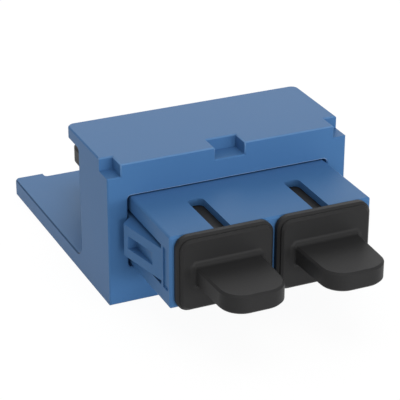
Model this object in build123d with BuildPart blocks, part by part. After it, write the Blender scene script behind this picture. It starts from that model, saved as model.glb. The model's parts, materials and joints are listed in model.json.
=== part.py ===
from build123d import *
import math
import os

os.makedirs("parts", exist_ok=True)

# Duplex SC fibre adapter in a two-space snap-in panel module, in millimetres.
# X runs across the two ports, Y from the front caps to the release lever, Z up.
# The origin lies in the front face of the bezel, midway between the two port axes.

# Standard port and alignment sleeve
port_pitch = 12.7
port_width = 9.0
port_height = 7.4
sleeve_bore = 2.5
sleeve_wall = 0.35
sleeve_length = 11.4
sleeve_slit = 0.5

# Adapter shells, two halves that meet in the middle of the flange
shell_side_wall = 2.1
shell_top_wall = 0.92
shell_half_length = 14.85
shell_corner = 0.3
shell_end_chamfer = 0.25
flange_thickness = 1.2
flange_side_rise = 1.7
flange_top_rise = 1.05
flange_corner = 0.6
weld_pin_radius = 0.45
weld_pin_height = 1.1
weld_pin_rise = 3.6
weld_pin_gap = 0.05

# Key slots over the ports
key_slot_width = 2.08
key_slot_length = 8.15
key_slot_corner = 0.75

# Side latches moulded in the front shell, measured back from its front end
latch_root = 2.55
latch_tip = 10.15
latch_shoulder = 11.6
latch_tail = 13.3
latch_spread = 1.6
latch_arm_wall = 0.78
latch_height = 4.14
latch_slit = 0.55
latch_flex_gap = 0.5
latch_tip_round = 0.2
latch_rest_gap = 0.15
latch_core_start = 4.3
latch_core_end = 9.3
latch_core_height = 1.7
latch_core_web = 1.0
side_panel_start = 0.65
side_panel_length = 1.4
side_panel_depth = 0.2

# Sleeve holders with their latch hooks
holder_plate = 1.2
holder_margin = 0.4
holder_gap = 0.05
tube_radius = 2.2
tube_lip = 0.5
tube_lip_inset = 0.15
sleeve_gap = 0.05
sleeve_end_gap = 0.1
tube_lead_in = 0.25
hook_offset = 3.45
hook_thickness = 0.8
hook_height = 2.9
hook_reach = 8.4
hook_nub = 0.45
hook_nub_length = 0.7
hook_lead_in = 0.7

# Bezel and its release lever, one moulding
bezel_width = 31.75
bezel_rise = 9.02
bezel_drop = 9.52
bezel_depth = 9.6
seat_wall = 1.95
opening_side_gap = 0.38
opening_top_gap = 0.15
opening_corner = 0.5
pocket_gap = 0.15
lip_reach = 13.95
lip_thickness = 1.62
lip_root_round = 0.6
lip_corner = 1.0
notch_depth = 2.64
notch_height = 1.63
corner_notch_width = 1.73
middle_notch_width = 3.95
lever_reach = 36.35
lever_thickness = 2.13
lever_slope = 1.0
lever_root_round = 2.0
lever_corner = 0.5
lever_recess_width = 23.6
lever_recess_depth = 1.05
lever_recess_round = 0.5
bezel_edge = 0.15

# Dust caps
cap_width = 12.2
cap_height = 9.55
cap_thickness = 1.35
cap_corner = 1.6
cap_edge = 0.25
cap_step_inset = 0.32
cap_step_depth = 0.5
cap_seat_gap = 0.1
tab_root_width = 8.4
tab_tip_width = 7.75
tab_thickness = 2.35
tab_length = 8.68
rear_tab_length = 9.8
rear_tab_drop = 1.5
tab_corner = 2.8
tab_edge = 0.25
tab_root_round = 0.7
plug_length = 11.5
plug_gap = 0.1
plug_corner = 0.4
plug_web_gap = 0.25
plug_channel_gap = 0.4
plug_bore_gap = 0.15

# Values that follow from the sizes above
shell_width = port_pitch + port_width + 2 * shell_side_wall
shell_height = port_height + 2 * shell_top_wall
flange_width = shell_width + 2 * flange_side_rise
flange_height = shell_height + 2 * flange_top_rise
mid_plane = seat_wall + flange_thickness
shell_front = mid_plane - shell_half_length
sleeve_radius = sleeve_bore / 2 + sleeve_wall
tube_bore_radius = sleeve_radius + sleeve_gap
tube_length = sleeve_length / 2 + sleeve_end_gap + tube_lip
plate_width = port_width + 2 * holder_margin
plate_height = port_height + 2 * holder_margin
plug_width = port_width - 2 * plug_gap
plug_height = port_height - 2 * plug_gap
plug_web_width = 2 * (hook_offset - hook_nub - plug_web_gap)
plug_channel_height = hook_height + 2 * plug_channel_gap
plug_bore_radius = tube_radius + plug_bore_gap
weld_pin_offset = (shell_width + flange_width) / 4

# How near an edge must lie to a stated place to be picked by it
nearby = 0.001

FRONT = -1
REAR = 1
sides = {"left": -1, "right": 1}
ends = {"front": FRONT, "rear": REAR}


def section(facing, out, x=0):
    """Upright plane at a distance out from the middle of the flange, facing the front or the rear."""
    place = (x, mid_plane + facing * out, 0)
    return Plane(origin=place, x_dir=(-facing, 0, 0), z_dir=(0, facing, 0))


def port_positions():
    """Centres of the two ports, across the adapter."""
    return [side * port_pitch / 2 for side in sides.values()]


def make_shell(facing):
    """One half of the adapter body, with its ports, key slots and half of the flange."""
    with BuildPart() as shell:
        with BuildSketch(section(facing, 0)):
            RectangleRounded(shell_width, shell_height, shell_corner)
        extrude(amount=shell_half_length)
        end_face = shell.faces().sort_by(Axis.Y)[0 if facing == FRONT else -1]
        chamfer(end_face.edges(), length=shell_end_chamfer)
        with BuildSketch(section(facing, 0)):
            RectangleRounded(flange_width, flange_height, flange_corner)
        extrude(amount=flange_thickness)
        for x in port_positions():
            with BuildSketch(section(facing, 0, x)):
                Rectangle(port_width, port_height)
            extrude(amount=shell_half_length, mode=Mode.SUBTRACT)
            with BuildSketch(section(facing, 0, x)):
                Rectangle(plate_width + 2 * holder_gap, plate_height + 2 * holder_gap)
            extrude(amount=holder_plate, mode=Mode.SUBTRACT)
            with BuildSketch(Plane.XY.offset(port_height / 2)):
                with Locations((x, mid_plane + facing * shell_half_length)):
                    RectangleRounded(key_slot_width, 2 * key_slot_length, key_slot_corner)
            extrude(amount=shell_top_wall, mode=Mode.SUBTRACT)
    return shell


def back_from_front(distance):
    """Y of a point at a distance behind the front end of the adapter."""
    return shell_front + distance


# Front shell with the two side latches
half_width = shell_width / 2
latch_inner = half_width - latch_arm_wall
latch_outer = half_width + latch_spread
opening_half = half_width + opening_side_gap
recess_floor = latch_inner - latch_flex_gap
recess_height = latch_height + 2 * latch_slit
shoulder_edge = opening_half - latch_rest_gap

with BuildPart() as adapter_front_shell:
    add(make_shell(FRONT).part)
    with BuildSketch(Plane.XZ.offset(-mid_plane)):
        with GridLocations(2 * weld_pin_offset, 2 * weld_pin_rise, 2, 2):
            Circle(weld_pin_radius)
    extrude(amount=-weld_pin_height)
    for side in sides.values():
        with BuildSketch(Plane.XY):
            with BuildLine():
                Polyline(
                    (side * recess_floor, back_from_front(latch_root)),
                    (side * latch_outer, back_from_front(latch_root)),
                    (side * latch_outer, seat_wall),
                    (side * recess_floor, seat_wall),
                    close=True,
                )
            make_face()
        extrude(amount=recess_height / 2, both=True, mode=Mode.SUBTRACT)
        with BuildSketch(Plane.XY) as arm_outline:
            with BuildLine():
                Polyline(
                    (side * latch_inner, back_from_front(latch_root - latch_arm_wall)),
                    (side * half_width, back_from_front(latch_root - latch_arm_wall)),
                    (side * half_width, back_from_front(latch_root)),
                    (side * latch_outer, back_from_front(latch_tip)),
                    (side * shoulder_edge, back_from_front(latch_shoulder)),
                    (side * shoulder_edge, back_from_front(latch_tail)),
                    (side * latch_inner, back_from_front(latch_tail)),
                    close=True,
                )
            make_face()
            tip = (side * latch_outer, back_from_front(latch_tip), 0)
            fillet(arm_outline.vertices().sort_by_distance(tip)[0], radius=latch_tip_round)
        extrude(amount=latch_height / 2, both=True)
        core_middle = back_from_front((latch_core_start + latch_core_end) / 2)
        core_floor = side * (latch_inner + latch_core_web)
        with BuildSketch(Plane.YZ.offset(core_floor)):
            with Locations((core_middle, 0)):
                Rectangle(latch_core_end - latch_core_start, latch_core_height)
        extrude(amount=side * latch_spread, mode=Mode.SUBTRACT)
        panel_middle = back_from_front(side_panel_start + side_panel_length / 2)
        with BuildSketch(Plane.YZ.offset(side * (half_width - side_panel_depth))):
            with Locations((panel_middle, 0)):
                Rectangle(side_panel_length, recess_height)
        extrude(amount=side * side_panel_depth, mode=Mode.SUBTRACT)

# Rear shell, with the holes for the weld pins
with BuildPart() as adapter_rear_shell:
    add(make_shell(REAR).part)
    with BuildSketch(Plane.XZ.offset(-mid_plane)):
        with GridLocations(2 * weld_pin_offset, 2 * weld_pin_rise, 2, 2):
            Circle(weld_pin_radius + weld_pin_gap)
    extrude(amount=-flange_thickness, mode=Mode.SUBTRACT)


def upright_edges(builder, y):
    """The builder's upright edges at a depth y."""
    return builder.edges().filter_by(Axis.Z).filter_by(lambda edge: abs(edge.center().Y - y) < nearby)


def lever_underside(y):
    """Height of the sloping underside at a depth y."""
    return -bezel_drop - y * math.tan(math.radians(lever_slope))


def lever_top(y):
    """Height of the lever's upper face at a depth y."""
    return lever_underside(y) + lever_thickness


# Bezel with the release lever
lip_underside = bezel_rise - lip_thickness
opening_width = shell_width + 2 * opening_side_gap
opening_height = shell_height + 2 * opening_top_gap

with BuildPart() as module_bezel:
    with BuildSketch(Plane.YZ) as side_profile:
        with BuildLine():
            Polyline(
                (0, lever_underside(0)),
                (0, bezel_rise),
                (lip_reach, bezel_rise),
                (lip_reach, lip_underside),
                (bezel_depth, lip_underside),
                (bezel_depth, lever_top(bezel_depth)),
                (lever_reach, lever_top(lever_reach)),
                (lever_reach, lever_underside(lever_reach)),
                close=True,
            )
        make_face()
        lip_root = (bezel_depth, lip_underside, 0)
        fillet(side_profile.vertices().sort_by_distance(lip_root)[0], radius=lip_root_round)
        lever_root = (bezel_depth, lever_top(bezel_depth), 0)
        fillet(side_profile.vertices().sort_by_distance(lever_root)[0], radius=lever_root_round)
    extrude(amount=bezel_width / 2, both=True)
    chamfer(upright_edges(module_bezel, lever_reach), length=lever_corner)
    fillet(upright_edges(module_bezel, lip_reach), radius=lip_corner)
    with BuildSketch(Plane.XY.offset(lever_underside(lever_reach))):
        with Locations((0, lever_reach)):
            Rectangle(lever_recess_width, 2 * lever_recess_depth)
    extrude(amount=lever_reach, mode=Mode.SUBTRACT)
    fillet(upright_edges(module_bezel, lever_reach - lever_recess_depth), radius=lever_recess_round)
    with BuildSketch(Plane.XY.offset(bezel_rise)):
        with Locations((0, notch_depth / 2)):
            Rectangle(middle_notch_width, notch_depth)
        corner_notch = (bezel_width - corner_notch_width) / 2
        with Locations((-corner_notch, notch_depth / 2), (corner_notch, notch_depth / 2)):
            Rectangle(corner_notch_width, notch_depth)
    extrude(amount=-notch_height, mode=Mode.SUBTRACT)
    with BuildSketch(Plane.XZ):
        RectangleRounded(opening_width, opening_height, opening_corner)
    extrude(amount=-seat_wall, mode=Mode.SUBTRACT)
    front_face = module_bezel.faces().sort_by(Axis.Y)[0]
    top_face = module_bezel.faces().sort_by(Axis.Z)[-1]
    lever_flank = (bezel_width / 2, lever_reach / 2, lever_top(lever_reach / 2))
    flank_edges = module_bezel.edges().filter_by(lambda edge: abs(edge.center().X) > bezel_width / 2 - nearby)
    lever_rim = flank_edges.sort_by_distance(lever_flank)[0]
    chamfer(front_face.edges() + top_face.edges() + [lever_rim], length=bezel_edge)
    with BuildSketch(Plane.XZ.offset(-seat_wall)):
        RectangleRounded(flange_width + 2 * pocket_gap, flange_height + 2 * pocket_gap, flange_corner)
    extrude(amount=-(bezel_depth - seat_wall + lever_root_round), mode=Mode.SUBTRACT)


def make_holder(facing, x):
    """Inner piece of one half port: a plate with the sleeve's tube and the two latch hooks."""
    with BuildPart() as holder:
        with BuildSketch(section(facing, 0, x)):
            Rectangle(plate_width, plate_height)
        extrude(amount=holder_plate)
        for hand in sides.values():
            with BuildSketch(Plane.XY):
                with BuildLine():
                    inner = hook_offset
                    nub = hook_offset - hook_nub
                    outer = hook_offset + hook_thickness
                    nub_start = hook_reach - hook_nub_length - hook_lead_in
                    outline = [
                        (inner, 0),
                        (inner, nub_start),
                        (nub, nub_start),
                        (nub, hook_reach - hook_lead_in),
                        (inner, hook_reach),
                        (outer, hook_reach),
                        (outer, 0),
                    ]
                    points = [(x + hand * across, mid_plane + facing * out) for across, out in outline]
                    Polyline(points, close=True)
                make_face()
            extrude(amount=hook_height / 2, both=True)
        with BuildSketch(section(facing, 0, x)):
            Circle(tube_radius)
        extrude(amount=tube_length)
        rim = holder.edges().filter_by(GeomType.CIRCLE).sort_by(Axis.Y)[0 if facing == FRONT else -1]
        chamfer(rim, length=tube_lead_in)
        with BuildSketch(section(facing, 0, x)):
            Circle(tube_bore_radius)
        extrude(amount=tube_length - tube_lip, mode=Mode.SUBTRACT)
        with BuildSketch(section(facing, 0, x)):
            Circle(tube_bore_radius - tube_lip_inset)
        extrude(amount=tube_length, mode=Mode.SUBTRACT)
    return holder


def make_sleeve(x):
    """Split ceramic sleeve, its slit downwards."""
    with BuildPart() as sleeve:
        with BuildSketch(section(FRONT, 0, x)):
            Circle(sleeve_radius)
            Circle(sleeve_bore / 2, mode=Mode.SUBTRACT)
            with Locations((0, -sleeve_radius)):
                Rectangle(sleeve_slit, 2 * sleeve_radius, mode=Mode.SUBTRACT)
        extrude(amount=sleeve_length / 2, both=True)
    return sleeve


def make_cap(facing, x, reach, drop):
    """Dust cap: a rounded flange, a pull tab and a plug that fits round the sleeve's tube."""
    seat = shell_half_length + cap_seat_gap
    face_y = mid_plane + facing * (seat + cap_thickness)
    root_y = face_y - facing * cap_edge
    tip_y = face_y + facing * reach
    with BuildPart() as cap:
        back_tier = (cap_width, cap_height, cap_corner, cap_thickness - cap_step_depth)
        inset = 2 * cap_step_inset
        front_tier = (cap_width - inset, cap_height - inset, cap_corner - cap_step_inset, cap_thickness)
        for width, height, corner, thickness in (back_tier, front_tier):
            with BuildSketch(section(facing, seat, x)):
                RectangleRounded(width, height, corner)
            extrude(amount=thickness)
            outer_face = cap.faces().sort_by(Axis.Y)[0 if facing == FRONT else -1]
            chamfer(outer_face.edges(), length=cap_edge)
        with BuildSketch(Plane.XY.offset(-drop)) as tab_outline:
            with BuildLine():
                Polyline(
                    (x - tab_root_width / 2, root_y),
                    (x - tab_tip_width / 2, tip_y),
                    (x + tab_tip_width / 2, tip_y),
                    (x + tab_root_width / 2, root_y),
                    close=True,
                )
            make_face()
            far_corners = tab_outline.vertices().group_by(Axis.Y)[0 if facing == FRONT else -1]
            fillet(far_corners, radius=tab_corner)
        extrude(amount=tab_thickness / 2, both=True)
        tab_span = sorted((face_y + facing * cap_edge, tip_y))
        rims = cap.edges(Select.LAST).filter_by_position(Axis.Y, *tab_span)
        flat_rims = rims.filter_by(lambda edge: abs(abs(edge.center().Z + drop) - tab_thickness / 2) < tab_edge)
        chamfer(flat_rims, length=tab_edge)
        face_edges = cap.edges().filter_by(lambda edge: abs(edge.center().Y - face_y) < nearby)
        root = face_edges.filter_by(
            lambda edge: abs(edge.center().X - x) < tab_root_width / 2 + nearby
            and abs(edge.center().Z + drop) < tab_thickness / 2 + nearby
        )
        fillet(root, radius=tab_root_round)
        with BuildSketch(section(facing, seat, x)):
            RectangleRounded(plug_width, plug_height, plug_corner)
        extrude(amount=-plug_length)
        with BuildSketch(section(facing, seat, x)):
            channel_width = (plug_width - plug_web_width) / 2
            offset = (plug_width + plug_web_width) / 4
            with Locations((-offset, 0), (offset, 0)):
                Rectangle(channel_width, plug_channel_height)
            Circle(plug_bore_radius)
        extrude(amount=-plug_length, mode=Mode.SUBTRACT)
    return cap


pieces = {
    "module_bezel": module_bezel,
    "adapter_front_shell": adapter_front_shell,
    "adapter_rear_shell": adapter_rear_shell,
}
for side_name, side in sides.items():
    port_x = side * port_pitch / 2
    pieces["alignment_sleeve_" + side_name] = make_sleeve(port_x)
    for end_name, facing in ends.items():
        pieces["sleeve_holder_" + end_name + "_" + side_name] = make_holder(facing, port_x)
    pieces["dust_cap_front_" + side_name] = make_cap(FRONT, port_x, tab_length, 0)
    pieces["dust_cap_rear_" + side_name] = make_cap(REAR, port_x, rear_tab_length, rear_tab_drop)

for name, piece in pieces.items():
    piece.part.label = name
    export_step(piece.part, "parts/" + name + ".step")
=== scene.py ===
import json
import math

import bpy
from mathutils import Matrix, Vector

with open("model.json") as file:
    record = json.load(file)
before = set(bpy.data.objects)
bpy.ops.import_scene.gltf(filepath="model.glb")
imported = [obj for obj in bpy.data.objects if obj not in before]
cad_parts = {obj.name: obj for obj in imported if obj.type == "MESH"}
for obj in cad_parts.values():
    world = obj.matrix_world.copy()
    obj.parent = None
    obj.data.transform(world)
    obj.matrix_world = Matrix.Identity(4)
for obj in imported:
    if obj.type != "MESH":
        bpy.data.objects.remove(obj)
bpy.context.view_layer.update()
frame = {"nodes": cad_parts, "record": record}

# Lengths are in metres and angles in degrees, where nothing else is said
MM = 0.001

# Shading of the CAD pieces: nearer points are joined, and edges that bend more stay sharp
JOIN_DISTANCE = 0.001 * MM
SHARP_BEND = 36.0
AREA_WEIGHT = 100

# The photograph's viewpoint; lens and sensor in millimetres
CAMERA_PLACE = (-0.07748, -0.16354, 0.08933)
CAMERA_AZIMUTH = -24.2085
CAMERA_ELEVATION = 25.8564
CAMERA_ROLL = 0.1031
CAMERA_LENS = 148.303
CAMERA_SENSOR = 36.0
CAMERA_NEAR = 0.01
CAMERA_FAR = 10.0

# The floor, just under the lever's sloped underside, on which the module lies
REST_HEIGHT = -9.52 * MM
REST_SLOPE = 1.0
FLOOR_GAP = 0.02 * MM
FLOOR_SIZE = 1.6
FLOOR_PALE = (0.8, 0.8, 0.8, 1.0)
FLOOR_FAINT = (0.07, 0.07, 0.07, 1.0)
FLOOR_GLOW = 0.95

# Studio light: an even sky and four soft lamps, with their widths and heights
SKY_STRENGTH = 0.655
LIGHT_AIM = (0.0, 0.004, 0.0)
LAMPS = {
    "back": {"place": (0.12, 0.36, 0.20), "size": (0.34, 0.34), "power": 0.48},
    "overhead": {"place": (0.0, -0.09, 0.41), "size": (0.34, 0.34), "power": 0.53},
    "low_right": {"place": (0.22, -0.32, 0.03), "size": (0.16, 0.07), "power": 0.16},
    "low_front": {"place": (0.04, -0.38, 0.03), "size": (0.22, 0.07), "power": 0.62},
}

# Rims of the bezel, with depths and heights in millimetres: those in front get a painted
# highlight, a pale tone added to their colour, and those along the lever and at the rear get
# painted shade, a darker colour
FRONT_RIM_DEPTH = 3.0
REAR_RIM_TOP = 5.5
BROW_HEIGHT = 8.5
SILL_HEIGHT = 0.0
# Painted highlight: the pale tone added on the front rims, its strength on the notch rims, the
# brow and the sill, and the roughness added there
PAINTED_HIGHLIGHT_TONE = (0.10, 0.13, 0.16)
NOTCH_HIGHLIGHT = 0.6
BROW_HIGHLIGHT = 0.35
SILL_HIGHLIGHT = 2.5
HIGHLIGHT_MATT = 0.2
# Painted shade: how much darker the rims along the lever and at the rear are made
PAINTED_RIM_SHADE = 0.50

# Colours and tints of the gloss, linear
MODULE_BLUE = (0.059, 0.158, 0.344, 1.0)
CAP_BLACK = (0.0225, 0.0225, 0.0230, 1.0)
HOLDER_IVORY = (0.66, 0.61, 0.50, 1.0)
CERAMIC_WHITE = (0.80, 0.79, 0.76, 1.0)
BLUE_GLOSS = (0.70, 1.0, 0.78, 1.0)
PLAIN_GLOSS = (1.0, 1.0, 1.0, 1.0)

# Plastic: the grain of the mould in its gloss, and clouds and specks in its colour
PLASTIC_IOR = 1.46
GRAIN_BUMP = 0.5
GRAIN_ROUGH = 0.05
CLOUD_PER_MM = 0.22
CLOUD_DETAIL = 3.0
CLOUD_ROUGH = 0.03
SPECK_PER_MM = 3.1
SPECK_DETAIL = 1.0

# Ceramic: grinding rings in its gloss, and clouds in its colour
CERAMIC_IOR = 1.9
CERAMIC_ROUGH = 0.10
CERAMIC_CLOUD_PER_MM = 0.9
CERAMIC_MOTTLE = 0.06
RINGS_PER_MM = 2.4
RING_WANDER = 1.5
RING_BUMP = 0.2
RING_DEPTH = 0.002 * MM
RING_ROUGH = 0.05


class Signal:
    """A shader socket; sums on it add Math nodes."""

    def __init__(self, finish, socket):
        self.finish = finish
        self.socket = socket

    def sibling(self, output):
        """Another output of the same node."""
        return Signal(self.finish, self.socket.node.outputs[output])

    def _sum(self, operation, first, second):
        return self.finish.node("ShaderNodeMath", {"operation": operation}, {0: first, 1: second})

    def __add__(self, other):
        return self._sum("ADD", self, other)

    __radd__ = __add__

    def __mul__(self, other):
        return self._sum("MULTIPLY", self, other)

    __rmul__ = __mul__

    def __sub__(self, other):
        return self._sum("SUBTRACT", self, other)

    def __rsub__(self, other):
        return self._sum("SUBTRACT", other, self)

    def __gt__(self, other):
        return self._sum("GREATER_THAN", self, other)

    def __lt__(self, other):
        return self._sum("LESS_THAN", self, other)

    def __abs__(self):
        return self._sum("ABSOLUTE", self, 0.0)

    def highest(self, other):
        return self._sum("MAXIMUM", self, other)


class Finish:
    """The node tree of one material or of the world."""

    def __init__(self, owner):
        owner.use_nodes = True
        self.tree = owner.node_tree
        self.tree.nodes.clear()

    def node(self, kind, settings, values, output=0):
        """Adds a node, sets it up, fills its sockets and gives one of its outputs."""
        made = self.tree.nodes.new(kind)
        for name, value in settings.items():
            setattr(made, name, value)
        for name, value in values.items():
            socket = made.inputs[name]
            if isinstance(value, Signal):
                self.tree.links.new(value.socket, socket)
            else:
                socket.default_value = value
        return Signal(self, made.outputs[output]) if made.outputs else None

    def scaled(self, vector, factor):
        """A vector or colour times a number or signal."""
        values = {"Vector": vector, "Scale": factor}
        return self.node("ShaderNodeVectorMath", {"operation": "SCALE"}, values)

    def with_painted_highlight(self, colour, tone, amount):
        """A colour with some of a paler tone added, which paints a highlight."""
        values = {0: tone, 1: amount, 2: colour}
        return self.node("ShaderNodeVectorMath", {"operation": "MULTIPLY_ADD"}, values)

    def parts(self, vector):
        """The X, Y and Z parts of a vector."""
        x = self.node("ShaderNodeSeparateXYZ", {}, {"Vector": vector}, "X")
        return x, x.sibling("Y"), x.sibling("Z")

    def place_mm(self):
        """Where a point lies on the module, in millimetres."""
        return self.scaled(self.node("ShaderNodeTexCoord", {}, {}, "Object"), 1 / MM)

    def noise(self, place, per_mm, detail=2.0):
        values = {"Vector": place, "Scale": per_mm, "Detail": detail}
        return self.node("ShaderNodeTexNoise", {}, values, "Fac")

    def bump(self, height, depth, strength):
        values = {"Strength": strength, "Distance": depth, "Height": height}
        return self.node("ShaderNodeBump", {}, values, "Normal")

    def surface(self, values):
        """Covers the material with the plain shader for solid things."""
        shader = self.node("ShaderNodeBsdfPrincipled", {}, values)
        self.node("ShaderNodeOutputMaterial", {}, {"Surface": shader})


def chamfer(first, second):
    """1 on a face that leans halfway between two directions, and 0 on one square to either."""
    return first * second * 2


def bezel_rim_light(finish, place):
    """Painted highlight on the bezel's narrow front rims and painted shade on those at the lever
    and the rear: how strong each is.
    """
    across, out, up = finish.parts(finish.node("ShaderNodeTexCoord", {}, {}, "Normal"))
    depth, height = finish.parts(place)[1:]
    front = depth < FRONT_RIM_DEPTH
    rear = (1 - front) * (height < REAR_RIM_TOP)
    facing_up = up.highest(0)
    facing_down = (0 - up).highest(0)
    notch = chamfer(abs(across), facing_up)
    brow = chamfer(abs(out), facing_up) * (height > BROW_HEIGHT)
    sill = chamfer(abs(out), facing_down) * (height > SILL_HEIGHT)
    flank = chamfer(abs(across), abs(out) + abs(up))
    # Painted highlight on the front rims: the notch rims, the brow and the sill
    highlight_mask = front * (notch * NOTCH_HIGHLIGHT + brow * BROW_HIGHLIGHT + sill * SILL_HIGHLIGHT)
    # Painted shade on the flank rims along the lever and at the rear
    return highlight_mask, rear * flank * PAINTED_RIM_SHADE


def moulded_plastic(
    name, colour, rough, level, gloss, grains_per_mm, grain_depth_mm, mottle, rim_light=None
):
    """Satin plastic with the fine sparked grain of its mould and a faint mottle in the colour."""
    material = bpy.data.materials.new(name)
    finish = Finish(material)
    place = finish.place_mm()
    grain = finish.noise(place, grains_per_mm)
    cloud = finish.noise(place, CLOUD_PER_MM, CLOUD_DETAIL)
    speck = finish.noise(place, SPECK_PER_MM, SPECK_DETAIL)
    shade = 1 - mottle + (cloud + speck) * mottle
    smoothest = rough - (GRAIN_ROUGH + CLOUD_ROUGH) / 2
    roughness = smoothest + grain * GRAIN_ROUGH + cloud * CLOUD_ROUGH
    # On the bezel, a painted highlight (a pale tone added, and a little more roughness) on its
    # front rims, and painted shade (darker colour) on its rims along the lever and at the rear
    if rim_light:
        highlight_mask, shade_mask = rim_light(finish, place)
        tint = finish.with_painted_highlight(finish.scaled(colour[:3], shade - shade_mask), PAINTED_HIGHLIGHT_TONE, highlight_mask)
        roughness = roughness + highlight_mask * HIGHLIGHT_MATT
    else:
        tint = finish.scaled(colour[:3], shade)
    finish.surface({
        "Base Color": tint,
        "Roughness": roughness,
        "IOR": PLASTIC_IOR,
        "Specular IOR Level": level,
        "Specular Tint": gloss,
        "Normal": finish.bump(grain, grain_depth_mm * MM, GRAIN_BUMP),
    })
    return material


def ground_ceramic(name, colour):
    """Ground and polished ceramic, with very fine grinding rings along the bore."""
    material = bpy.data.materials.new(name)
    finish = Finish(material)
    place = finish.place_mm()
    values = {"Vector": place, "Scale": RINGS_PER_MM, "Distortion": RING_WANDER}
    rings = finish.node("ShaderNodeTexWave", {"bands_direction": "Y"}, values, "Fac")
    cloud = finish.noise(place, CERAMIC_CLOUD_PER_MM)
    finish.surface({
        "Base Color": finish.scaled(
            colour[:3], 1 - CERAMIC_MOTTLE / 2 + cloud * CERAMIC_MOTTLE
        ),
        "Roughness": CERAMIC_ROUGH + rings * RING_ROUGH,
        "IOR": CERAMIC_IOR,
        "Normal": finish.bump(rings, RING_DEPTH, RING_BUMP),
    })
    return material


def make_finishes():
    """The material of each of the record's slots."""
    blue = {
        "colour": MODULE_BLUE, "rough": 0.42, "level": 0.115, "gloss": BLUE_GLOSS, "mottle": 0.03,
    }
    black = {
        "colour": CAP_BLACK, "rough": 0.46, "level": 0.13, "gloss": PLAIN_GLOSS, "mottle": 0.06,
    }
    ivory = {
        "colour": HOLDER_IVORY, "rough": 0.38, "level": 0.45, "gloss": PLAIN_GLOSS, "mottle": 0.02,
    }
    return {
        "bezel_plastic": moulded_plastic(
            "bezel_plastic", **blue, grains_per_mm=7.0, grain_depth_mm=0.012, rim_light=bezel_rim_light
        ),
        "adapter_plastic": moulded_plastic(
            "adapter_plastic", **blue, grains_per_mm=8.0, grain_depth_mm=0.010
        ),
        "cap_plastic": moulded_plastic(
            "cap_plastic", **black, grains_per_mm=9.0, grain_depth_mm=0.012
        ),
        "holder_plastic": moulded_plastic(
            "holder_plastic", **ivory, grains_per_mm=8.0, grain_depth_mm=0.008
        ),
        "sleeve_ceramic": ground_ceramic("sleeve_ceramic", CERAMIC_WHITE),
    }


def soft_edges():
    """Modifier tree that joins the facets and shades them smoothly, but keeps the sharp edges."""
    group = bpy.data.node_groups.new("soft_edges", "GeometryNodeTree")
    group.interface.new_socket("Geometry", in_out="INPUT", socket_type="NodeSocketGeometry")
    group.interface.new_socket("Geometry", in_out="OUTPUT", socket_type="NodeSocketGeometry")
    entry = group.nodes.new("NodeGroupInput")
    weld = group.nodes.new("GeometryNodeMergeByDistance")
    weld.inputs["Distance"].default_value = JOIN_DISTANCE
    smooth = group.nodes.new("GeometryNodeSetShadeSmooth")
    bend = group.nodes.new("GeometryNodeInputMeshEdgeAngle")
    crisp = group.nodes.new("FunctionNodeCompare")
    crisp.data_type = "FLOAT"
    crisp.operation = "GREATER_THAN"
    crisp.inputs["B"].default_value = math.radians(SHARP_BEND)
    split = group.nodes.new("GeometryNodeSetShadeSmooth")
    split.domain = "EDGE"
    split.inputs["Shade Smooth"].default_value = False
    leave = group.nodes.new("NodeGroupOutput")
    group.links.new(entry.outputs[0], weld.inputs["Geometry"])
    group.links.new(weld.outputs["Geometry"], smooth.inputs["Geometry"])
    group.links.new(smooth.outputs["Geometry"], split.inputs["Geometry"])
    group.links.new(bend.outputs["Unsigned Angle"], crisp.inputs["A"])
    group.links.new(crisp.outputs["Result"], split.inputs["Selection"])
    group.links.new(split.outputs["Geometry"], leave.inputs[0])
    return group


def dress_nodes():
    """Gives each CAD node the finish of its slot and soft shading."""
    finishes = make_finishes()
    edges = soft_edges()
    slots = {row["node"]: row["material_slot"] for row in frame["record"]["subparts"]}
    for name, piece in frame["nodes"].items():
        piece.data.materials.clear()
        piece.data.materials.append(finishes[slots[name]])
        joined = piece.modifiers.new("joined", "NODES")
        joined.node_group = edges
        shaded = piece.modifiers.new("shaded", "WEIGHTED_NORMAL")
        shaded.mode = "FACE_AREA"
        shaded.weight = AREA_WEIGHT
        shaded.keep_sharp = True


def seen_directly(finish):
    """1 for rays that see a backdrop straight or in a gloss, and 0 for rays that gather light."""
    eye = finish.node("ShaderNodeLightPath", {}, {}, "Is Camera Ray")
    return eye.highest(eye.sibling("Is Glossy Ray")).highest(eye.sibling("Is Transmission Ray"))


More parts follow.
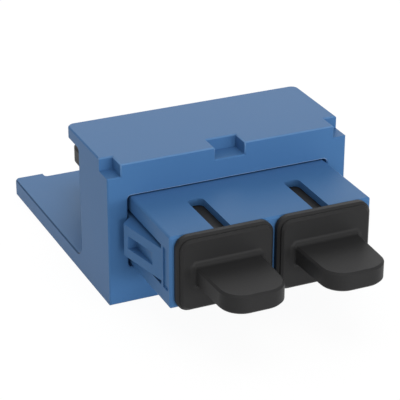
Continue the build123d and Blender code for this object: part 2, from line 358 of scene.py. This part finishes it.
def lay_floor():
    """A plain pale floor under the lever, white to the eye but for a faint shadow."""
    mesh = bpy.data.meshes.new("floor")
    half = FLOOR_SIZE / 2
    corners = [(-half, -half, 0), (half, -half, 0), (half, half, 0), (-half, half, 0)]
    mesh.from_pydata(corners, [], [(0, 1, 2, 3)])
    floor = bpy.data.objects.new("floor", mesh)
    bpy.context.scene.collection.objects.link(floor)
    floor.location = (0, 0, REST_HEIGHT - FLOOR_GAP)
    floor.rotation_euler = (-math.radians(REST_SLOPE), 0, 0)
    material = bpy.data.materials.new("pale_floor")
    finish = Finish(material)
    matt = finish.node("ShaderNodeBsdfDiffuse", {}, {"Color": FLOOR_PALE})
    faint = finish.node("ShaderNodeBsdfDiffuse", {}, {"Color": FLOOR_FAINT})
    glow = finish.node("ShaderNodeEmission", {}, {"Strength": FLOOR_GLOW})
    shown = finish.node("ShaderNodeAddShader", {}, {0: faint, 1: glow})
    surface = finish.node("ShaderNodeMixShader", {}, {0: seen_directly(finish), 1: matt, 2: shown})
    finish.node("ShaderNodeOutputMaterial", {}, {"Surface": surface})
    mesh.materials.append(material)


def light_studio():
    """An even sky, white to the eye, and the soft lamps."""
    world = bpy.data.worlds.new("studio")
    bpy.context.scene.world = world
    finish = Finish(world)
    strength = SKY_STRENGTH + seen_directly(finish) * (1 - SKY_STRENGTH)
    sky = finish.node("ShaderNodeBackground", {}, {"Strength": strength})
    finish.node("ShaderNodeOutputWorld", {}, {"Surface": sky})
    for name, lamp in LAMPS.items():
        light = bpy.data.lights.new(name, "AREA")
        light.shape = "RECTANGLE"
        light.size, light.size_y = lamp["size"]
        light.energy = lamp["power"]
        holder = bpy.data.objects.new(name, light)
        bpy.context.scene.collection.objects.link(holder)
        holder.location = lamp["place"]
        aim = Vector(LIGHT_AIM) - holder.location
        holder.rotation_euler = aim.to_track_quat("-Z", "Y").to_euler()


def place_camera():
    """The photograph's viewpoint, as a pinhole with no shift."""
    azimuth = math.radians(CAMERA_AZIMUTH)
    elevation = math.radians(CAMERA_ELEVATION)
    roll = math.radians(CAMERA_ROLL)
    right = Vector((math.cos(azimuth), math.sin(azimuth), 0))
    level_back = Vector((math.sin(azimuth), -math.cos(azimuth), 0))
    back = math.cos(elevation) * level_back + math.sin(elevation) * Vector((0, 0, 1))
    up = back.cross(right)
    turned_right = math.cos(roll) * right + math.sin(roll) * up
    turned_up = math.cos(roll) * up - math.sin(roll) * right
    data = bpy.data.cameras.new("camera")
    data.lens = CAMERA_LENS
    data.sensor_width = CAMERA_SENSOR
    data.clip_start = CAMERA_NEAR
    data.clip_end = CAMERA_FAR
    camera = bpy.data.objects.new("camera", data)
    bpy.context.scene.collection.objects.link(camera)
    turn = Matrix((turned_right, turned_up, back)).transposed().to_4x4()
    camera.matrix_world = Matrix.Translation(CAMERA_PLACE) @ turn
    bpy.context.scene.camera = camera


dress_nodes()
lay_floor()
light_studio()
place_camera()
bpy.context.scene.view_settings.view_transform = "Standard"
